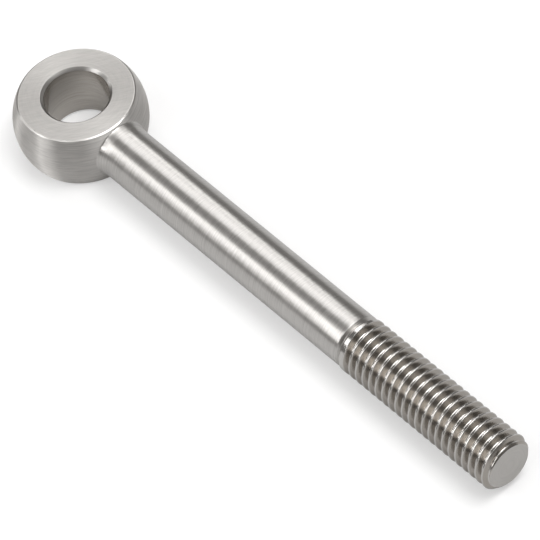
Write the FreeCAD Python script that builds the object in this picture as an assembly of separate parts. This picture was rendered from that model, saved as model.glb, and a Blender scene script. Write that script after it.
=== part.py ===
import FreeCAD, Part
import math
import os

# Swing eye bolt, turned and threaded from one bar.
# Millimetres, +Z up. The origin is the centre of the eye, +Z runs along the eye's bore
# and +X runs along the shank towards the threaded end.

# Shank and thread
SHANK_DIAMETER = 7.7
THREAD_DIAMETER = 8.0        # major diameter
THREAD_LENGTH = 28.7
BOLT_LENGTH = 84.0           # centre of the eye to the threaded end
RELIEF_DEPTH = 0.4           # groove where the thread begins, below the shank's surface
END_CHAMFER = 0.72           # 45 degrees, round the flat end

# Eye, a ball with two flats
EYE_DIAMETER = 18.4
FLAT_STEP = 0.65             # how far each flat stands out past the shank's surface
EYE_THICKNESS = SHANK_DIAMETER + 2 * FLAT_STEP
EYE_EDGE_BREAK = 0.12        # width of the flat that breaks the sharp edge round each face
BORE_DIAMETER = 9.0
BORE_CHAMFER = 0.4           # 45 degrees, both ends of the bore

# Neck, where the eye runs into the shank
NECK_FLARE = 0.35            # how far the neck stands out over the shank where it begins
NECK_SINK = 0.25             # how far inside the ball it begins
NECK_ROOT = 1.4              # from the bore's wall to the end of the stem in the eye
NECK_BLEND = 7.5             # radius of the hollow flare
NECK_FILLET = 0.2            # fillet in the crease round the neck

AXIS_X = FreeCAD.Vector(1, 0, 0)
AXIS_Z = FreeCAD.Vector(0, 0, 1)
ORIGIN = FreeCAD.Vector(0, 0, 0)


def at(x, z):
    """A point of a half section, in the XZ plane."""
    return FreeCAD.Vector(x, 0, z)


def polyline(points):
    """Straight edges through the points, in order."""
    return [Part.LineSegment(a, b).toShape() for a, b in zip(points, points[1:])]


def arc(start, middle, end):
    """A round edge through three points."""
    return Part.Arc(start, middle, end).toShape()


def turned(edges, axis):
    """The solid that a closed half section makes when it is turned about an axis."""
    wire = Part.Wire(Part.__sortEdges__(edges))
    return Part.Face(wire).revolve(ORIGIN, axis, 360)


def ball_at(distance):
    """Half chord of the ball at a distance from its centre."""
    return math.sqrt((EYE_DIAMETER / 2) ** 2 - distance ** 2)


def make_eye():
    """Ball with two flat faces, their edges broken, and a chamfered bore."""
    half = EYE_THICKNESS / 2
    bore = BORE_DIAMETER / 2
    face = ball_at(half) - EYE_EDGE_BREAK
    shoulder = half - EYE_EDGE_BREAK
    outline = [
        at(ball_at(shoulder), -shoulder),
        at(face, -half),
        at(bore + BORE_CHAMFER, -half),
        at(bore, -half + BORE_CHAMFER),
        at(bore, half - BORE_CHAMFER),
        at(bore + BORE_CHAMFER, half),
        at(face, half),
        at(ball_at(shoulder), shoulder),
    ]
    side = arc(outline[-1], at(EYE_DIAMETER / 2, 0), outline[0])
    eye = turned(polyline(outline) + [side], AXIS_Z)
    # The seam of the turned faces goes to the back, away from the neck
    eye.rotate(ORIGIN, AXIS_Z, 180)
    return eye


def make_stem():
    """Neck, shank and thread blank on one axis, with the groove and the chamfered end."""
    shank = SHANK_DIAMETER / 2
    neck = shank + NECK_FLARE
    relief = shank - RELIEF_DEPTH
    thread = THREAD_DIAMETER / 2
    end = thread - END_CHAMFER

    root = BORE_DIAMETER / 2 + NECK_ROOT
    flare_start = ball_at(neck) - NECK_SINK
    flare_angle = math.acos(1 - NECK_FLARE / NECK_BLEND)
    flare_end = flare_start + NECK_BLEND * math.sin(flare_angle)
    half_way = flare_angle / 2
    flare_middle = at(flare_end - NECK_BLEND * math.sin(half_way),
                      shank + NECK_BLEND * (1 - math.cos(half_way)))

    # The groove's two sides and the end's chamfer all stand at 45 degrees
    thread_start = BOLT_LENGTH - THREAD_LENGTH
    groove = thread_start + RELIEF_DEPTH
    crest_start = groove + thread - relief
    chamfer_start = BOLT_LENGTH - END_CHAMFER

    flare = arc(at(flare_start, neck), flare_middle, at(flare_end, shank))
    before = [at(root, 0), at(root, neck), at(flare_start, neck)]
    after = [
        at(flare_end, shank),
        at(thread_start, shank),
        at(groove, relief),
        at(crest_start, thread),
        at(chamfer_start, thread),
        at(BOLT_LENGTH, end),
        at(BOLT_LENGTH, 0),
        at(root, 0),
    ]
    return turned(polyline(before) + [flare] + polyline(after), AXIS_X)


def is_neck_crease(edge):
    """True for the edge where the flare comes out of the ball."""
    middle = edge.valueAt((edge.FirstParameter + edge.LastParameter) / 2)
    from_stem_axis = math.hypot(middle.y, middle.z)
    on_ball = abs(middle.Length - EYE_DIAMETER / 2) < NECK_SINK / 10
    return on_ball and middle.x > 0 and from_stem_axis < SHANK_DIAMETER / 2 + NECK_FLARE


def make_eye_bolt():
    """The whole bolt as one solid."""
    bolt = make_eye().fuse(make_stem()).removeSplitter()
    crease = [edge for edge in bolt.Edges if is_neck_crease(edge)]
    return bolt.makeFillet(NECK_FILLET, crease)


os.makedirs("parts", exist_ok=True)
make_eye_bolt().exportStep("parts/eye_bolt.step")
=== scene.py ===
import math

import bpy
from bpy.props import FloatProperty, FloatVectorProperty, IntProperty, PointerProperty
from mathutils import Matrix, Vector


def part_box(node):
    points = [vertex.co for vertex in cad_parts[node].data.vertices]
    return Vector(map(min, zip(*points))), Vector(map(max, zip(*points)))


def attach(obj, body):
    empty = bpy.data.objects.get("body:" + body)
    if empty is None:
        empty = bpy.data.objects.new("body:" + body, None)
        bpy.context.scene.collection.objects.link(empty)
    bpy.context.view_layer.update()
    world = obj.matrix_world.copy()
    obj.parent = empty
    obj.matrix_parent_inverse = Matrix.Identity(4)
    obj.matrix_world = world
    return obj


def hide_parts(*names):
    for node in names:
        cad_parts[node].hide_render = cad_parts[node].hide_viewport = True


bl_info = {
    "name": "Swing Eye Bolt",
    "version": (1, 0, 0),
    "blender": (4, 5, 0),
    "location": "View3D > Sidebar > Eye Bolt",
    "description": "Dresses a turned swing eye bolt: ball eye, flared neck, shank and cut thread",
    "category": "Add Mesh",
}

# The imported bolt, in metres: the origin is the centre of the eye, +Z runs along the bore
# and +X along the shank to the threaded end
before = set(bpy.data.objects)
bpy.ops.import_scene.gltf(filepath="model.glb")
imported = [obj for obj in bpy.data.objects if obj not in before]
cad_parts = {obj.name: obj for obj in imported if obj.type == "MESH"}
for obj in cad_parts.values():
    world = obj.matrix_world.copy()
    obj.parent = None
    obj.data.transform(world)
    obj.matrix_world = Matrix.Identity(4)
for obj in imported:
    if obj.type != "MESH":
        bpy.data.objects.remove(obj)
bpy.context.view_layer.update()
SOLID = "eye_bolt"
LOWEST, HIGHEST = (Vector(corner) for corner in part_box(SOLID))

MM = 0.001
TURN = 2 * math.pi
TINY = 1e-9              # metres; places that differ by less are the same
MERGE_DISTANCE = 1e-8    # metres


# Sizes, finish and studio settings

class EyeBoltSizes(bpy.types.PropertyGroup):
    eye_diameter: FloatProperty(
        name="Eye diameter", description="Diameter of the ball that the eye is cut from",
        default=-2 * LOWEST.x, min=0.001, unit="LENGTH", precision=5)
    eye_thickness: FloatProperty(
        name="Eye thickness", description="Distance between the two flats of the eye",
        default=HIGHEST.z - LOWEST.z, min=0.001, unit="LENGTH", precision=5)
    edge_break: FloatProperty(
        name="Edge break", description="Width of the break on the sharp edge round each flat",
        default=0.12 * MM, min=0.0, unit="LENGTH", precision=5)
    bore_diameter: FloatProperty(
        name="Bore diameter", description="Diameter of the hole through the eye",
        default=9.0 * MM, min=0.001, unit="LENGTH", precision=5)
    bore_chamfer: FloatProperty(
        name="Bore chamfer", description="Leg of the 45 degree chamfer at both ends of the bore",
        default=0.4 * MM, min=0.0, unit="LENGTH", precision=5)
    bolt_length: FloatProperty(
        name="Length", description="From the centre of the eye to the threaded end",
        default=HIGHEST.x, min=0.01, unit="LENGTH", precision=5)
    shank_diameter: FloatProperty(
        name="Shank diameter", description="Diameter of the plain shank",
        default=7.7 * MM, min=0.001, unit="LENGTH", precision=5)
    neck_flare: FloatProperty(
        name="Neck flare", description="How far the neck stands out over the shank at the ball",
        default=0.35 * MM, min=0.0, unit="LENGTH", precision=5)
    neck_blend: FloatProperty(
        name="Neck blend", description="Radius of the hollow flare of the neck",
        default=7.5 * MM, min=0.0001, unit="LENGTH", precision=5)
    neck_sink: FloatProperty(
        name="Neck sink", description="How far inside the ball the flare begins",
        default=0.25 * MM, min=0.0, unit="LENGTH", precision=5)
    neck_fillet: FloatProperty(
        name="Neck fillet", description="Radius of the fillet in the crease round the neck",
        default=0.2 * MM, min=0.00001, unit="LENGTH", precision=5)
    thread_diameter: FloatProperty(
        name="Thread diameter", description="Major diameter of the thread",
        default=8.0 * MM, min=0.001, unit="LENGTH", precision=5)
    thread_pitch: FloatProperty(
        name="Pitch", description="Distance from one crest of the thread to the next",
        default=1.25 * MM, min=0.0001, unit="LENGTH", precision=5)
    thread_length: FloatProperty(
        name="Thread length", description="From the end of the plain shank to the threaded end",
        default=28.7 * MM, min=0.001, unit="LENGTH", precision=5)
    crest_round: FloatProperty(
        name="Crest round", description="Radius on the two edges of the thread's crest",
        default=0.06 * MM, min=0.000001, unit="LENGTH", precision=6)
    root_round: FloatProperty(
        name="Root round", description="Radius in the root of the thread",
        default=0.15 * MM, min=0.000001, unit="LENGTH", precision=6)
    relief_depth: FloatProperty(
        name="Groove depth", description="Depth of the groove where the thread begins",
        default=0.4 * MM, min=0.0, unit="LENGTH", precision=5)
    first_crest: FloatProperty(
        name="First crest", description="From the end of the plain shank to the middle of the first crest",
        default=1.026 * MM, min=0.0, unit="LENGTH", precision=5)
    end_chamfer: FloatProperty(
        name="End chamfer", description="Leg of the 45 degree chamfer round the flat end",
        default=0.72 * MM, min=0.0, unit="LENGTH", precision=5)
    columns: IntProperty(
        name="Columns", description="Number of facets round the shank, a multiple of four",
        default=128, min=32, max=256, step=4)


class EyeBoltFinish(bpy.types.PropertyGroup):
    steel: FloatVectorProperty(
        name="Steel", description="Colour of the bare stainless steel",
        default=(0.56, 0.545, 0.526), min=0.0, max=1.0, size=3, subtype="COLOR")
    # Painted shade: the thread's flanks get this darker colour, standing in for the shade in the grooves
    # between the teeth
    shaded_flank_steel: FloatVectorProperty(
        name="Flanks", description="Colour of the rough flanks of the thread",
        default=(0.39, 0.365, 0.335), min=0.0, max=1.0, size=3, subtype="COLOR")
    # Painted shade and painted reflection: the bore gets this darker, warmer colour, standing in for its
    # walls shading and mirroring each other
    shaded_bore_steel: FloatVectorProperty(
        name="Bore", description="Colour of the steel inside the bore, where its walls mirror each other",
        default=(0.545, 0.518, 0.485), min=0.0, max=1.0, size=3, subtype="COLOR")
    shank_roughness: FloatProperty(
        name="Shank roughness", description="Roughness of the shank and the neck",
        default=0.33, min=0.0, max=1.0, subtype="FACTOR")
    thread_roughness: FloatProperty(
        name="Thread roughness", description="Roughness of the cut thread",
        default=0.18, min=0.0, max=1.0, subtype="FACTOR")
    flank_dullness: FloatProperty(
        name="Flank dullness",
        description="How much rougher the thread's flanks are than its crest and root",
        default=0.05, min=0.0, max=1.0, subtype="FACTOR")
    ball_roughness: FloatProperty(
        name="Ball roughness", description="Roughness of the round side of the eye",
        default=0.47, min=0.0, max=1.0, subtype="FACTOR")
    face_roughness: FloatProperty(
        name="Face roughness", description="Roughness of the eye's flats and of the bolt's end",
        default=0.54, min=0.0, max=1.0, subtype="FACTOR")
    bore_roughness: FloatProperty(
        name="Bore roughness", description="Roughness of the bore",
        default=0.24, min=0.0, max=1.0, subtype="FACTOR")
    chamfer_roughness: FloatProperty(
        name="Chamfer roughness", description="Roughness of the bore's chamfers",
        default=0.36, min=0.0, max=1.0, subtype="FACTOR")
    edge_roughness: FloatProperty(
        name="Edge roughness", description="Roughness of the edge breaks and of the crease of the neck",
        default=0.28, min=0.0, max=1.0, subtype="FACTOR")
    marks: FloatProperty(
        name="Tool marks", description="How strongly the fine turning and brushing marks show",
        default=0.5, min=0.0, max=1.0, subtype="FACTOR")


def box_brightness(name, place, default):
    """Setting for the brightness of one soft box."""
    return FloatProperty(name=name, description="Brightness of the soft box " + place,
                         default=default, min=0.0, max=20.0)


class StudioSettings(bpy.types.PropertyGroup):
    floor_colour: FloatVectorProperty(
        name="Floor", description="Colour of the plain floor",
        default=(0.60, 0.60, 0.60), min=0.0, max=1.0, size=3, subtype="COLOR")
    floor_size: FloatProperty(
        name="Floor size", description="Width of the square floor",
        default=12.0, min=1.0, unit="LENGTH")
    floor_glow: FloatProperty(
        name="Floor glow",
        description="What the floor adds to itself where the camera sees it, so that it comes out white",
        default=0.41, min=0.0, max=1.0)
    floor_in_metal: FloatProperty(
        name="Floor in metal", description="Share of that glow that the metal mirrors",
        default=0.2, min=0.0, max=1.0, subtype="FACTOR")
    surround: FloatProperty(
        name="Surround", description="Brightness of the grey room round the bolt",
        default=0.158, min=0.0, max=2.0)
    backdrop_in_metal: FloatProperty(
        name="Backdrop in metal", description="Share of the white backdrop that the metal mirrors",
        default=0.05, min=0.0, max=1.0, subtype="FACTOR")
    top_box: box_brightness("Overhead box", "overhead, behind the eye", 2.15)
    top_near: box_brightness("Overhead near box", "right over the eye and the bolt", 1.0)
    far_box: box_brightness("Far box", "high on the far side, far behind the eye", 4.0)
    far_near: box_brightness("Far near box", "high on the far side, beside and behind the eye", 0.95)
    side_box: box_brightness("Side box", "high on the near side, behind the eye", 1.5)
    side_near: box_brightness("Side near box", "high on the near side, close behind the eye", 4.3)
    side_end: box_brightness("Side end box", "high on the near side, far behind the eye", 3.5)
    low_box: box_brightness("Low side box", "low on the near side, beside the eye", 4.8)
    low_end: box_brightness("Low end box", "low on the near side, far behind the eye", 4.2)
    low_far: box_brightness("Low far box", "low on the far side, beside the bolt", 0.3)
    front_box: box_brightness("Front box", "overhead, beyond the threaded end", 7.6)
    front_end: box_brightness("Front end box", "overhead, far beyond the threaded end", 2.5)
    zenith_box: box_brightness("Zenith box", "straight overhead, beyond the threaded end", 2.6)
    zenith_near: box_brightness("Zenith near box", "high on the near side, over the bolt", 2.6)


# Outlines in the plane of an axis: pairs of position along it and distance from it

# Steps of the arcs: the neck's crease and flare, and the rounds of the thread
CREASE_STEPS = 5
FLARE_STEPS = 10
CREST_STEPS = 4
ROOT_STEPS = 5


def arc_points(centre, radius, start, end, steps):
    """Points on an arc, from the angle start to the angle end, both included."""
    points = []
    for step in range(steps + 1):
        angle = start + (end - start) * step / steps
        points.append((centre[0] + radius * math.cos(angle), centre[1] + radius * math.sin(angle)))
    return points


def direction_of(centre, point):
    """Angle of the line from a centre to a point."""
    return math.atan2(point[1] - centre[1], point[0] - centre[0])


def neck_outline(sizes):
    """Fillet in the crease and hollow flare, from the ball to the plain shank."""
    ball = sizes.eye_diameter / 2
    shank = sizes.shank_diameter / 2
    fillet = sizes.neck_fillet
    blend = sizes.neck_blend
    neck = shank + sizes.neck_flare
    flare_angle = math.acos(1 - sizes.neck_flare / blend)
    flare_end = math.sqrt(ball ** 2 - neck ** 2) - sizes.neck_sink + blend * math.sin(flare_angle)
    hollow = (flare_end, shank + blend)

    # The fillet's centre is ball + fillet from the eye's centre and blend - fillet from the hollow's
    apart = math.hypot(*hollow)
    along = ((ball + fillet) ** 2 - (blend - fillet) ** 2 + apart ** 2) / (2 * apart)
    across = math.sqrt((ball + fillet) ** 2 - along ** 2)
    unit = (hollow[0] / apart, hollow[1] / apart)
    centre = (unit[0] * along + unit[1] * across, unit[1] * along - unit[0] * across)

    on_ball = direction_of(centre, (0.0, 0.0))
    on_flare = direction_of(hollow, centre) - TURN
    crease = arc_points(centre, fillet, on_ball + TURN if on_ball < 0 else on_ball,
                        direction_of(centre, hollow) + math.pi, CREASE_STEPS)
    flare = arc_points(hollow, blend, on_flare + TURN, -math.pi / 2, FLARE_STEPS)
    return crease + flare[1:]


class ThreadForm:
    """Radius of the cut thread at any place, with its run-out and its chamfered end."""

    FLANK = math.radians(30)      # half the angle of the thread
    CREST_SHARE = 1 / 8           # width of the crest, of one pitch
    RUN_OUT_START = -0.36         # in turns from the first crest at the +Y side
    RUN_OUT_TURNS = 0.40

    def __init__(self, sizes):
        self.pitch = sizes.thread_pitch
        self.crest = sizes.thread_diameter / 2
        self.end = sizes.bolt_length
        self.chamfer_start = self.end - sizes.end_chamfer
        self.start = self.end - sizes.thread_length
        self.zero = self.start + sizes.first_crest
        self.tooth = self.tooth_points(sizes)
        self.root = self.tooth[-1][1]

    def tooth_points(self, sizes):
        """Half a tooth, from the middle of the crest to the middle of the root."""
        half_crest = self.pitch * self.CREST_SHARE / 2
        slope = 1 / math.tan(self.FLANK)
        turn = math.pi / 2 - self.FLANK

        # Sharp corner of crest and flank, and the V that the two flanks would make
        inset = sizes.crest_round * math.tan(turn / 2)
        crest_centre = (half_crest - inset, self.crest - sizes.crest_round)
        crest = arc_points(crest_centre, sizes.crest_round, math.pi / 2, math.pi / 2 - turn, CREST_STEPS)
        v_bottom = self.crest - (self.pitch / 2 - half_crest) * slope
        root_centre = (self.pitch / 2, v_bottom + sizes.root_round / math.sin(self.FLANK))
        root = arc_points(root_centre, sizes.root_round, -math.pi / 2 - turn, -math.pi / 2, ROOT_STEPS)
        top, bottom = crest[-1], root[0]
        flank_middle = ((top[0] + bottom[0]) / 2, (top[1] + bottom[1]) / 2)
        return [(0.0, self.crest)] + crest + [flank_middle] + root

    def phases(self):
        """Places of the rows within one pitch, in turns, from 0 up to 1."""
        first = [point[0] / self.pitch for point in self.tooth]
        second = [1 - phase for phase in reversed(first)]
        return first + second[1:-1]

    def tooth_radius(self, phase):
        """Radius of the full tooth at a phase from 0 to 1."""
        reach = min(phase, 1 - phase) * self.pitch
        for before, after in zip(self.tooth, self.tooth[1:]):
            if reach <= after[0]:
                span = after[0] - before[0]
                share = (reach - before[0]) / span if span else 1.0
                return before[1] + (after[1] - before[1]) * share
        return self.root

    def run_out(self, groove_turn):
        """0 where the groove hasn't begun, 1 where it has its full depth."""
        share = (groove_turn - self.RUN_OUT_START) / self.RUN_OUT_TURNS
        share = min(max(share, 0.0), 1.0)
        return share * share * (3 - 2 * share)

    def cut_radius(self, along, turn):
        """Radius of the thread before the end's chamfer; turn is the angle round the axis / 360."""
        helical = (along - self.zero) / self.pitch - turn
        groove = math.floor(helical)
        depth = self.crest - self.tooth_radius(helical - groove)
        return self.crest - depth * self.run_out(groove + turn)

    def chamfer_radius(self, along):
        """Radius of the end's chamfer, or of the crest before it."""
        return self.crest - max(along - self.chamfer_start, 0.0)

    def radius(self, along, turn):
        return min(self.cut_radius(along, turn), self.chamfer_radius(along))


# Mesh parts

# Numbers of the finishes, which are the slots of the mesh's materials
(STEM_FINISH, THREAD_FINISH, BALL_FINISH, FACE_FINISH,
 BORE_FINISH, END_FINISH, EDGE_FINISH, CHAMFER_FINISH) = range(8)

SHANK_STEPS = 8               # rows along the plain shank
SHANK_MARGIN = 0.08 * MM      # from the last of these rows to the end of the shank
STEM_ROUND = 0.03 * MM        # small rounds at both ends of the groove
MOUTH_ROUND = 0.035 * MM      # small rounds on the edges of the flats and of the bore's chamfers
END_RINGS = (0.985, 0.7, 0.35)      # of the radius of the flat end
BORE_RINGS = (0.5, 0.0, -0.5)       # of half the height of the bore's cylinder
PATCH_WIDTH = 0.66            # of the ball's radius: half width of the patch round the neck
PATCH_STEPS = 6               # rows of the patch, from the neck to its rim
BACK_STEPS = 112              # strips round the back of the ball
SPARE_TURNS = 2               # of the helix, at each end of the thread
HALVINGS = 30                 # of a gap, to find where chamfer and thread cross
CREASE_ANGLE = math.radians(24)


class ShellBuilder:
    """Collects points and faces of one closed shell."""

    def __init__(self):
        self.points = []
        self.faces = []
        self.finishes = []

    def add(self, x, y, z):
        self.points.append((x, y, z))
        return len(self.points) - 1

    def strip(self, before, after, finish, closed=True):
        """Quads between two rows with as many points, which lie anticlockwise seen from outside."""
        count = len(before)
        last = count if closed else count - 1
        for i in range(last):
            j = (i + 1) % count
            self.faces.append((before[i], before[j], after[j], after[i]))
            self.finishes.append(finish)

    def fan(self, row, tip, finish):
        """Triangles from a closed row to one point."""
        count = len(row)
        for i in range(count):
            self.faces.append((row[i], row[(i + 1) % count], tip))
            self.finishes.append(finish)


def stem_row(shell, x, radius, columns):
    """One row round the X axis."""
    angles = [TURN * column / columns for column in range(columns)]
    return [shell.add(x, radius * math.cos(angle), radius * math.sin(angle)) for angle in angles]


def helix_places(sizes, thread, blank_start):
    """Place along the shank of each point of the thread, row by row.

    The rows follow the helix, and are held back to where the blank begins and ends.
    """
    columns = sizes.columns
    turns = range(-SPARE_TURNS, int(sizes.thread_length / thread.pitch) + SPARE_TURNS + 1)
    table = []
    for step in [turn + phase for turn in turns for phase in thread.phases()]:
        along = [thread.zero + thread.pitch * (step + column / columns) for column in range(columns)]
        table.append([min(max(place, blank_start), thread.end) for place in along])
    for column in range(columns):
        snap_to_chamfer(table, column, column / columns, thread)
    used = [places for places in table if max(places) > blank_start and min(places) < thread.end]
    return [[blank_start] * columns] + used + [[thread.end] * columns]


def snap_to_chamfer(table, column, turn, thread):
    """Moves the nearest point of a column on to each place where chamfer and thread cross."""
    def above(along):
        return thread.cut_radius(along, turn) > thread.chamfer_radius(along)

    well_before = thread.chamfer_start - thread.pitch / 10
    for index in range(len(table) - 1):
        low, high = table[index][column], table[index + 1][column]
        if low < well_before or high - low < TINY or above(low) == above(high):
            continue
        left, right = low, high
        for _ in range(HALVINGS):
            middle = (left + right) / 2
            if above(middle) == above(low):
                left = middle
            else:
                right = middle
        nearest = index if left - low < high - left else index + 1
        table[nearest][column] = left


def add_stem(shell, sizes):
    """Neck, shank, groove, thread and end; returns the row in the ball's surface."""
    thread = ThreadForm(sizes)
    shank = sizes.shank_diameter / 2
    groove_floor = shank - sizes.relief_depth
    groove = thread.start + sizes.relief_depth
    blank_start = groove + thread.crest - groove_floor

    outline = neck_outline(sizes)
    neck_end = outline[-1][0]
    shank_end = thread.start - SHANK_MARGIN
    for step in range(1, SHANK_STEPS + 1):
        outline.append((neck_end + (shank_end - neck_end) * step / SHANK_STEPS, shank))
    outline += [
        (thread.start - STEM_ROUND, shank - STEM_ROUND / 4),
        (thread.start + STEM_ROUND, shank - STEM_ROUND),
        (groove - STEM_ROUND, groove_floor + STEM_ROUND),
        (groove + STEM_ROUND, groove_floor + STEM_ROUND),
    ]
    rows = [stem_row(shell, x, radius, sizes.columns) for x, radius in outline]
    for places in helix_places(sizes, thread, blank_start):
        row = []
        for column, along in enumerate(places):
            turn = column / sizes.columns
            radius = thread.radius(along, turn)
            row.append(shell.add(along, radius * math.cos(TURN * turn), radius * math.sin(TURN * turn)))
        rows.append(row)

    for index, (before, after) in enumerate(zip(rows, rows[1:])):
        if index < CREASE_STEPS:
            shell.strip(before, after, EDGE_FINISH)
        elif index < len(outline) - 1:
            shell.strip(before, after, STEM_FINISH)
        else:
            shell.strip(before, after, THREAD_FINISH)
    inner = rows[-1]
    for share in END_RINGS:
        row = stem_row(shell, thread.end, share * (thread.crest - sizes.end_chamfer), sizes.columns)
        shell.strip(inner, row, END_FINISH)
        inner = row
    shell.fan(inner, shell.add(thread.end, 0.0, 0.0), END_FINISH)
    return rows[0]


def patch_rim(columns, patch, shoulder):
    """Rectangle round the neck: the place in Y and Z of each column of the stem on it."""
    sides = 2 * round(columns * math.atan2(shoulder, patch) / TURN)
    corner = math.pi * sides / columns
    corner_slope = math.tan(corner)
    rim = []
    for column in range(columns):
        angle = (TURN * column / columns + corner) % TURN - corner
        if angle < corner:
            rim.append((patch, shoulder * math.tan(angle) / corner_slope))
        elif angle < math.pi - corner:
            rim.append((patch * corner_slope / math.tan(angle), shoulder))
        elif angle < math.pi + corner:
            rim.append((-patch, -shoulder * math.tan(angle) / corner_slope))
        else:
            rim.append((-patch * corner_slope / math.tan(angle), -shoulder))
    return rim


def add_patch(shell, ball, neck_row, rim):
    """Front of the ball, from the neck out to the rectangle; returns the row on the rectangle."""
    neck_radius = math.hypot(*shell.points[neck_row[0]][1:])
    inner = neck_row
    for step in range(1, PATCH_STEPS + 1):
        share = step / PATCH_STEPS
        row = []
        for column, far in enumerate(rim):
            angle = TURN * column / len(rim)
            near = (neck_radius * math.cos(angle), neck_radius * math.sin(angle))
            y = near[0] + (far[0] - near[0]) * share
            z = near[1] + (far[1] - near[1]) * share
            row.append(shell.add(math.sqrt(max(ball ** 2 - y ** 2 - z ** 2, 0.0)), y, z))
        shell.strip(row, inner, BALL_FINISH)
        inner = row
    return inner


def add_back(shell, first, last):
    """Rest of the ball, from one side of the patch round the back to the other; returns its meridians."""
    meridians = [first]
    for step in range(1, BACK_STEPS):
        row = []
        for index in first:
            x, y, z = shell.points[index]
            start = math.atan2(y, x)
            angle = start + (TURN - 2 * start) * step / BACK_STEPS
            level = math.hypot(x, y)
            row.append(shell.add(level * math.cos(angle), level * math.sin(angle), z))
        meridians.append(row)
    meridians.append(last)
    for before, after in zip(meridians, meridians[1:]):
        shell.strip(before, after, BALL_FINISH, closed=False)
    return meridians


def rounded_mouth(sizes):
    """Rows from the shoulder over the flat and down the bore's chamfer.

    Each has its radius, its height and the finish of the strip that leads to it. Two or three
    rows lie on each small round.
    """
    half = sizes.eye_thickness / 2
    face = math.sqrt((sizes.eye_diameter / 2) ** 2 - half ** 2) - sizes.edge_break
    bore = sizes.bore_diameter / 2
    mouth = bore + sizes.bore_chamfer
    chamfer_end = half - sizes.bore_chamfer
    soft = MOUTH_ROUND
    return [
        (face + soft, half - soft * 0.45, EDGE_FINISH),
        (face, half - soft * 0.08, EDGE_FINISH),
        (face - soft * 1.6, half, EDGE_FINISH),
        ((face * 2 + bore) / 3, half, FACE_FINISH),
        ((face + bore * 2) / 3, half, FACE_FINISH),
        (mouth + soft * 1.6, half, FACE_FINISH),
        (mouth + soft * 0.1, half - soft * 0.2, CHAMFER_FINISH),
        (mouth - soft, half - soft * 1.2, CHAMFER_FINISH),
        (bore + soft, chamfer_end + soft * 1.2, CHAMFER_FINISH),
        (bore + soft * 0.1, chamfer_end - soft * 0.1, CHAMFER_FINISH),
        (bore, chamfer_end - soft * 1.6, BORE_FINISH),
    ]


def add_eye(shell, sizes, neck_row):
    """Ball with its hole for the neck, two flats with broken edges, and the chamfered bore."""
    ball = sizes.eye_diameter / 2
    half = sizes.eye_thickness / 2
    shoulder = half - sizes.edge_break
    patch = PATCH_WIDTH * ball
    rim = patch_rim(sizes.columns, patch, shoulder)
    edge = list(zip(add_patch(shell, ball, neck_row, rim), rim))

    def upright(y):
        """Points on the side of the rectangle at y, from the lowest to the highest."""
        side = [index for index, place in edge if abs(place[0] - y) < TINY]
        return sorted(side, key=lambda index: shell.points[index][2])

    def level_side(z):
        """Points between the corners of the rectangle at z, in the order of y."""
        return [index for index, place in sorted(edge, key=lambda pair: pair[1][0])
                if abs(place[1] - z) < TINY and abs(place[0]) < patch - TINY]

    meridians = add_back(shell, upright(patch), upright(-patch))
    upper = [row[-1] for row in meridians] + level_side(shoulder)
    lower = [row[0] for row in meridians] + level_side(-shoulder)
    angles = [math.atan2(shell.points[index][1], shell.points[index][0]) for index in upper]

    def level_row(radius, z):
        return [shell.add(radius * math.cos(angle), radius * math.sin(angle), z) for angle in angles]

    # Both flats, from the circle at each shoulder inwards, then the wall of the bore between them
    mouth = rounded_mouth(sizes)
    top = [upper] + [level_row(radius, z) for radius, z, _ in mouth]
    bottom = [lower] + [level_row(radius, -z) for radius, z, _ in mouth]
    for before, after, row in zip(top, top[1:], mouth):
        shell.strip(before, after, row[2])
    for before, after, row in zip(bottom, bottom[1:], mouth):
        shell.strip(after, before, row[2])
    inside = top[-1]
    for share in BORE_RINGS:
        row = level_row(sizes.bore_diameter / 2, share * (half - sizes.bore_chamfer))
        shell.strip(inside, row, BORE_FINISH)
        inside = row
    shell.strip(inside, bottom[-1], BORE_FINISH)


def finished_mesh(name, shell):
    """Mesh of the shell with held-back points merged, smooth but for its edges."""
    import bmesh
    mesh = bpy.data.meshes.new(name)
    mesh.from_pydata(shell.points, [], shell.faces)
    for polygon, finish in zip(mesh.polygons, shell.finishes):
        polygon.material_index = finish
        polygon.use_smooth = True
    edit = bmesh.new()
    edit.from_mesh(mesh)
    bmesh.ops.remove_doubles(edit, verts=edit.verts, dist=MERGE_DISTANCE)
    bmesh.ops.dissolve_degenerate(edit, edges=edit.edges, dist=TINY)
    bmesh.ops.recalc_face_normals(edit, faces=edit.faces)
    open_edges = [edge for edge in edit.edges if not edge.is_manifold]
    edit.to_mesh(mesh)
    edit.free()
    if open_edges:
        raise RuntimeError("the shell of %s has %d open edges" % (name, len(open_edges)))
    mesh.set_sharp_from_angle(angle=CREASE_ANGLE)
    return mesh


# Finish

MARKS_ACROSS = 5200.0         # fine steps per metre across the tool marks
MARKS_ALONG = 500.0           # coarse steps per metre along them
MARKS_IN_COLOUR = 0.3         # share by which full marks change the colour
MARKS_IN_ROUGHNESS = 0.2      # and the roughness
COLOUR_LIMITS = (0.28, 0.72)        # values of the noise where the marks are darkest and lightest
ROUGHNESS_LIMITS = (0.25, 0.75)     # and where they are smoothest and roughest
STRAIGHT_SHARE = 0.6          # of the marks on the flats; the rest are arcs round the bore
BRUSHED_HEADING = 58.0        # degrees from +X, of the straight marks on the flats

# Depths from the thread's crest and root to where the steel keeps its own colour and where the painted
# shade on the flanks is full
CREST_SHADE_START = 0.03 * MM
CREST_SHADE_FULL = 0.12 * MM
ROOT_SHADE_START = 0.07 * MM
ROOT_SHADE_FULL = 0.16 * MM


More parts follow.
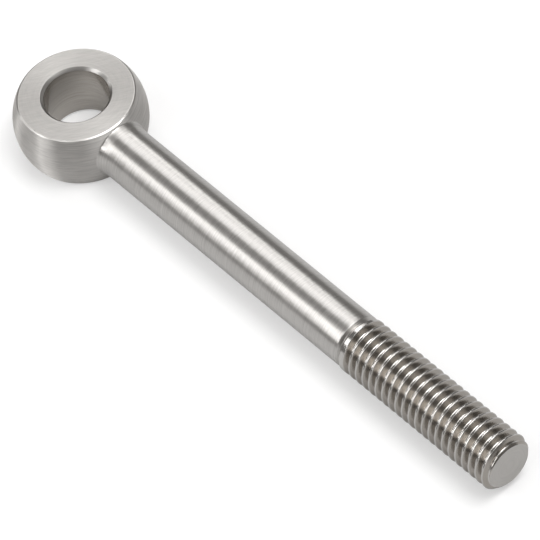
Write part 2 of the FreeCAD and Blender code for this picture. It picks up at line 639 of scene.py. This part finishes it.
class Nodes:
    """Short way to add linked nodes to a node tree."""

    def __init__(self, tree):
        self.tree = tree

    def feed(self, socket, value):
        """Link a node's output to a socket, or set the socket to a plain value."""
        if isinstance(value, bpy.types.NodeSocket):
            self.tree.links.new(value, socket)
        else:
            socket.default_value = value

    def add(self, kind, inputs=None, **settings):
        """New node; inputs maps numbers or names of its sockets to outputs or plain values."""
        node = self.tree.nodes.new(kind)
        for key, value in settings.items():
            setattr(node, key, value)
        for key, value in (inputs or {}).items():
            self.feed(node.inputs[key], value)
        return node

    def maths(self, operation, first, second):
        return self.add("ShaderNodeMath", {0: first, 1: second}, operation=operation).outputs[0]

    def vector(self, x, y, z):
        return self.add("ShaderNodeCombineXYZ", {0: x, 1: y, 2: z}).outputs[0]

    def length(self, vector):
        return self.add("ShaderNodeVectorMath", {0: vector}, operation="LENGTH").outputs["Value"]

    def ramp(self, value, low, high, at_low=0.0, at_high=1.0):
        """From at_low to at_high while the value goes from low to high."""
        limits = {0: value, 1: low, 2: high, 3: at_low, 4: at_high}
        return self.add("ShaderNodeMapRange", limits).outputs[0]

    def mixed(self, share, first, second):
        """Colour between two colours; the node's sockets 6 and 7 and its output 2 are for colours."""
        mix = self.add("ShaderNodeMix", {0: share, 6: first, 7: second}, data_type="RGBA")
        return mix.outputs[2]


def scaled(colour, factor):
    """Opaque colour made lighter or darker by a factor."""
    return (*[min(channel * factor, 1.0) for channel in colour], 1.0)


def tool_marks(nodes, along, across):
    """Noise drawn out into marks along one way and fine across the other two."""
    stretched = nodes.vector(nodes.maths("MULTIPLY", across[0], MARKS_ACROSS),
                             nodes.maths("MULTIPLY", across[1], MARKS_ACROSS),
                             nodes.maths("MULTIPLY", along, MARKS_ALONG))
    noise = nodes.add("ShaderNodeTexNoise", {"Vector": stretched, "Scale": 1.0, "Detail": 2.5,
                                             "Roughness": 0.62}, noise_dimensions="3D")
    return noise.outputs[0]


def lie_of_marks(nodes, lay):
    """Direction of the sheen, distance from the axis it runs round, and the marks themselves."""
    place = nodes.add("ShaderNodeTexCoord").outputs["Object"]
    x, y, z = nodes.add("ShaderNodeSeparateXYZ", {0: place}).outputs
    if lay == "X":
        grain = nodes.vector(0.0, nodes.maths("MULTIPLY", z, -1.0), y)
        distance = nodes.length(nodes.vector(0.0, y, z))
        return grain, distance, tool_marks(nodes, y, (x, distance))
    grain = nodes.vector(nodes.maths("MULTIPLY", y, -1.0), x, 0.0)
    distance = nodes.length(nodes.vector(x, y, 0.0))
    if lay == "Z":
        return grain, distance, tool_marks(nodes, x, (z, distance))

    # Straight marks at the heading lay, mixed with arcs round the bore, which the sheen follows
    turned = nodes.add("ShaderNodeVectorRotate", {"Vector": place, "Angle": -math.radians(lay)},
                       rotation_type="Z_AXIS").outputs[0]
    forward, sideways, _ = nodes.add("ShaderNodeSeparateXYZ", {0: turned}).outputs
    straight = tool_marks(nodes, forward, (sideways, z))
    arcs = tool_marks(nodes, sideways, (z, distance))
    marks = nodes.maths("ADD", nodes.maths("MULTIPLY", straight, STRAIGHT_SHARE),
                        nodes.maths("MULTIPLY", arcs, 1 - STRAIGHT_SHARE))
    return grain, distance, marks


def worked_steel(name, finish, lay, roughness, anisotropy, strength=1.0, painted_shading=1.0,
                 base=None, thread=None):
    """Stainless steel with fine marks.

    lay is the axis that the marks run round, or their heading in degrees. strength tells how much
    of them shows. The shading factor is painted light and shade: it makes this part's steel lighter
    or darker to stand in for how the light falls on it. base is the colour if it isn't the usual one.
    A thread's flanks get a darker colour than its crest and root, painted shade that stands in
    for the shade in its grooves, and they are rougher too.
    """
    material = bpy.data.materials.new(name)
    material.use_nodes = True
    nodes = Nodes(material.node_tree)
    grain, distance, marks = lie_of_marks(nodes, lay)
    tangent = nodes.add("ShaderNodeVectorTransform", {0: grain}, vector_type="VECTOR",
                        convert_from="OBJECT", convert_to="WORLD").outputs[0]

    steel = finish.steel if base is None else base
    amount = finish.marks * strength
    colour_range = MARKS_IN_COLOUR * amount
    rough_range = MARKS_IN_ROUGHNESS * amount
    colour = nodes.mixed(nodes.ramp(marks, *COLOUR_LIMITS),
                         # Painted light and shade: the steel's colour is scaled by this part's shading
                         # factor
                         scaled(steel, painted_shading * (1 - colour_range)),
                         scaled(steel, painted_shading * (1 + colour_range)))
    rough = nodes.ramp(marks, *ROUGHNESS_LIMITS,
                       roughness * (1 - rough_range), roughness * (1 + rough_range))
    # Painted shade: away from the crest and root the flanks take the darker flank colour, standing in for
    # the shade in the grooves; they are rougher there too
    if thread:
        near_crest = nodes.ramp(distance, thread.crest - CREST_SHADE_FULL, thread.crest - CREST_SHADE_START)
        near_root = nodes.ramp(distance, thread.root + ROOT_SHADE_FULL, thread.root + ROOT_SHADE_START)
        unshaded = nodes.maths("MAXIMUM", near_crest, near_root)
        dull = nodes.maths("SUBTRACT", 1.0, unshaded)
        colour = nodes.mixed(unshaded, scaled(finish.shaded_flank_steel, 1.0), colour)
        rough = nodes.maths("ADD", rough, nodes.maths("MULTIPLY", dull, finish.flank_dullness))

    shader = nodes.tree.nodes["Principled BSDF"].inputs
    for socket, value in (
            ("Base Color", colour),
            ("Metallic", 1.0),
            ("Roughness", rough),
            ("Anisotropic", anisotropy),
            ("Anisotropic Rotation", 0.25),
            ("Tangent", tangent)):
        nodes.feed(shader[socket], value)
    return material


def steel_finishes(sizes, finish):
    """The bolt's materials, in the order of the numbers of the finishes."""
    # Each shading factor is painted light and shade: the same steel made lighter or darker to stand in for
    # how the light falls on that part
    return (
        worked_steel("turned shank", finish, "X", finish.shank_roughness, anisotropy=0.6, painted_shading=0.95),
        worked_steel("cut thread", finish, "X", finish.thread_roughness, anisotropy=0.3, strength=0.3,
                     thread=ThreadForm(sizes)),
        worked_steel("turned ball", finish, "Z", finish.ball_roughness, anisotropy=1.0, painted_shading=1.06),
        worked_steel("brushed face", finish, BRUSHED_HEADING, finish.face_roughness, anisotropy=0.5,
                     painted_shading=0.88),
        # The bore's darker, warmer colour is painted shade and painted reflection of its walls
        worked_steel("bored hole", finish, "Z", finish.bore_roughness, anisotropy=0.8,
                     base=finish.shaded_bore_steel),
        worked_steel("faced end", finish, "X", finish.face_roughness, anisotropy=0.4, strength=0.3),
        worked_steel("cut edges", finish, "Z", finish.edge_roughness, anisotropy=0.3, strength=0.3,
                     painted_shading=0.95),
        worked_steel("bore chamfers", finish, "Z", finish.chamfer_roughness, anisotropy=0.3,
                     strength=0.3, painted_shading=0.8),
    )


class OBJECT_OT_turned_eye_bolt(bpy.types.Operator):
    """Make the eye bolt as one closed shell with its cut thread"""
    bl_idname = "eye_bolt.turned_eye_bolt"
    bl_label = "Turned Eye Bolt"

    def execute(self, context):
        sizes = context.scene.eye_bolt_sizes
        shell = ShellBuilder()
        neck_row = add_stem(shell, sizes)
        add_eye(shell, sizes, neck_row)
        mesh = finished_mesh("turned_eye_bolt", shell)
        for material in steel_finishes(sizes, context.scene.eye_bolt_finish):
            mesh.materials.append(material)
        piece = bpy.data.objects.new("turned_eye_bolt", mesh)
        context.scene.collection.objects.link(piece)
        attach(piece, "root")
        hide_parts(SOLID)
        return {"FINISHED"}


# Studio

BOX_DISTANCE = 0.8            # metres from the shank's axis to each soft box
WARM_GREY = (1.0, 0.96, 0.92, 1.0)
WHITE = (1.0, 1.0, 1.0, 1.0)

# Soft boxes: name, setting of the brightness, angle round the shank from +Y in degrees, width,
# and where they start and end along X, in metres
SOFT_BOXES = (
    ("overhead box", "top_box", 72.0, 0.459, -0.72, -0.28),
    ("overhead near box", "top_near", 68.0, 0.225, -0.28, 0.1),
    ("far box", "far_box", 39.0, 0.197, -1.3, -0.5),
    ("far near box", "far_near", 50.0, 0.197, -0.5, 0.1),
    ("side box", "side_box", 136.5, 0.352, -0.75, -0.36),
    ("side near box", "side_near", 136.5, 0.352, -0.36, -0.17),
    ("side end box", "side_end", 131.0, 0.140, -1.3, -0.75),
    ("low side box", "low_box", 153.5, 0.150, -0.27, 0.06),
    ("low end box", "low_end", 169.0, 0.253, -1.7, -1.0),
    ("low far box", "low_far", 8.0, 0.168, -0.25, 0.5),
    ("front box", "front_box", 75.0, 0.429, 0.1, 0.4),
    ("front end box", "front_end", 75.0, 0.429, 0.4, 0.7),
    ("zenith box", "zenith_box", 98.0, 0.225, 0.1, 0.5),
    ("zenith near box", "zenith_near", 119.0, 0.140, -0.15, 0.3),
)


def soft_box(name, around, width, start, end, brightness):
    """A rectangular lamp parallel to the shank and turned to it, at an angle round it from +Y."""
    lamp = bpy.data.lights.new(name, "AREA")
    lamp.shape = "RECTANGLE"
    lamp.size = end - start
    lamp.size_y = width
    lamp.energy = brightness * math.pi * lamp.size * lamp.size_y
    holder = bpy.data.objects.new(name, lamp)
    angle = math.radians(around)
    outward = Vector((0.0, math.cos(angle), math.sin(angle)))
    sideways = outward.cross(Vector((1.0, 0.0, 0.0)))
    turn = Matrix(((1.0, 0.0, 0.0), tuple(sideways), tuple(outward))).transposed()
    place = outward * BOX_DISTANCE + Vector(((start + end) / 2, 0.0, 0.0))
    holder.matrix_world = Matrix.Translation(place) @ turn.to_4x4()
    bpy.context.scene.collection.objects.link(holder)


def background_share(nodes, in_metal):
    """1 where the camera or glass sees the background, in_metal where metal mirrors it, else 0."""
    path = nodes.add("ShaderNodeLightPath").outputs
    seen = nodes.maths("ADD", path["Is Camera Ray"], path["Is Transmission Ray"])
    mirrored = nodes.maths("MULTIPLY", path["Is Glossy Ray"], in_metal)
    return nodes.maths("ADD", mirrored, seen)


def pale_floor(settings, height):
    """Plain floor that shows white to the camera and keeps the bolt's shadow."""
    half = settings.floor_size / 2
    corners = [(-half, -half, height), (half, -half, height), (half, half, height), (-half, half, height)]
    mesh = bpy.data.meshes.new("floor")
    mesh.from_pydata(corners, [], [(0, 1, 2, 3)])
    material = bpy.data.materials.new("pale floor")
    material.use_nodes = True
    nodes = Nodes(material.node_tree)
    nodes.tree.nodes.remove(nodes.tree.nodes["Principled BSDF"])
    diffuse = nodes.add("ShaderNodeBsdfDiffuse", {"Color": (*settings.floor_colour, 1.0)})
    strength = nodes.maths("MULTIPLY", background_share(nodes, settings.floor_in_metal),
                           settings.floor_glow)
    glow = nodes.add("ShaderNodeEmission", {"Strength": strength})
    both = nodes.add("ShaderNodeAddShader", {0: diffuse.outputs[0], 1: glow.outputs[0]})
    nodes.feed(nodes.tree.nodes["Material Output"].inputs["Surface"], both.outputs[0])
    mesh.materials.append(material)
    floor = bpy.data.objects.new("floor", mesh)
    bpy.context.scene.collection.objects.link(floor)
    return floor


def grey_surround(settings):
    """Grey room that lights the bolt, with a white backdrop where the camera looks at it."""
    world = bpy.data.worlds.new("surround")
    world.use_nodes = True
    nodes = Nodes(world.node_tree)
    room = nodes.tree.nodes["Background"]
    nodes.feed(room.inputs["Color"], WARM_GREY)
    nodes.feed(room.inputs["Strength"], settings.surround)
    backdrop = nodes.add("ShaderNodeBackground", {"Color": WHITE, "Strength": 1.0})
    share = background_share(nodes, settings.backdrop_in_metal)
    mix = nodes.add("ShaderNodeMixShader", {0: share, 1: room.outputs[0], 2: backdrop.outputs[0]})
    nodes.feed(nodes.tree.nodes["World Output"].inputs["Surface"], mix.outputs[0])
    return world


def photo_camera():
    """Long lens from above the bolt's side, tilted a little."""
    azimuth, elevation, roll = math.radians(-32.896), math.radians(51.526), math.radians(-11.153)
    target = Vector((0.038312, 0.000049, 0.0))
    distance = 0.70774
    back = Vector((math.cos(elevation) * math.cos(azimuth),
                   math.cos(elevation) * math.sin(azimuth), math.sin(elevation)))
    lens = bpy.data.cameras.new("camera")
    lens.sensor_width = 36.0
    lens.lens = 362.02
    lens.clip_end = 20.0
    camera = bpy.data.objects.new("camera", lens)
    facing = (-back).to_track_quat("-Z", "Y").to_matrix() @ Matrix.Rotation(roll, 3, "Z")
    camera.matrix_world = Matrix.Translation(target + back * distance) @ facing.to_4x4()
    return camera


class OBJECT_OT_eye_bolt_studio(bpy.types.Operator):
    """Lay the pale floor, hang the soft boxes and set the camera"""
    bl_idname = "eye_bolt.studio"
    bl_label = "Studio"

    def execute(self, context):
        settings = context.scene.eye_bolt_studio
        scene = context.scene
        floor = pale_floor(settings, LOWEST.z)
        scene.world = grey_surround(settings)
        for name, setting, around, width, start, end in SOFT_BOXES:
            soft_box(name, around, width, start, end, getattr(settings, setting))
        camera = photo_camera()
        scene.collection.objects.link(camera)
        scene.camera = camera
        scene.view_settings.view_transform = "Standard"
        return {"FINISHED"}


class VIEW3D_PT_eye_bolt(bpy.types.Panel):
    bl_idname = "VIEW3D_PT_eye_bolt"
    bl_label = "Swing Eye Bolt"
    bl_space_type = "VIEW_3D"
    bl_region_type = "UI"
    bl_category = "Eye Bolt"

    def draw(self, context):
        scene = context.scene
        for group in (scene.eye_bolt_sizes, scene.eye_bolt_finish, scene.eye_bolt_studio):
            column = self.layout.column(align=True)
            for name in group.__annotations__:
                column.prop(group, name)
        self.layout.operator(OBJECT_OT_turned_eye_bolt.bl_idname)
        self.layout.operator(OBJECT_OT_eye_bolt_studio.bl_idname)


CLASSES = (
    EyeBoltSizes,
    EyeBoltFinish,
    StudioSettings,
    OBJECT_OT_turned_eye_bolt,
    OBJECT_OT_eye_bolt_studio,
    VIEW3D_PT_eye_bolt,
)


def register():
    for item in CLASSES:
        bpy.utils.register_class(item)
    bpy.types.Scene.eye_bolt_sizes = PointerProperty(type=EyeBoltSizes)
    bpy.types.Scene.eye_bolt_finish = PointerProperty(type=EyeBoltFinish)
    bpy.types.Scene.eye_bolt_studio = PointerProperty(type=StudioSettings)


def unregister():
    del bpy.types.Scene.eye_bolt_studio
    del bpy.types.Scene.eye_bolt_finish
    del bpy.types.Scene.eye_bolt_sizes
    for item in reversed(CLASSES):
        bpy.utils.unregister_class(item)


def main():
    register()
    bpy.ops.eye_bolt.turned_eye_bolt()
    bpy.ops.eye_bolt.studio()


if __name__ == "__main__":
    main()
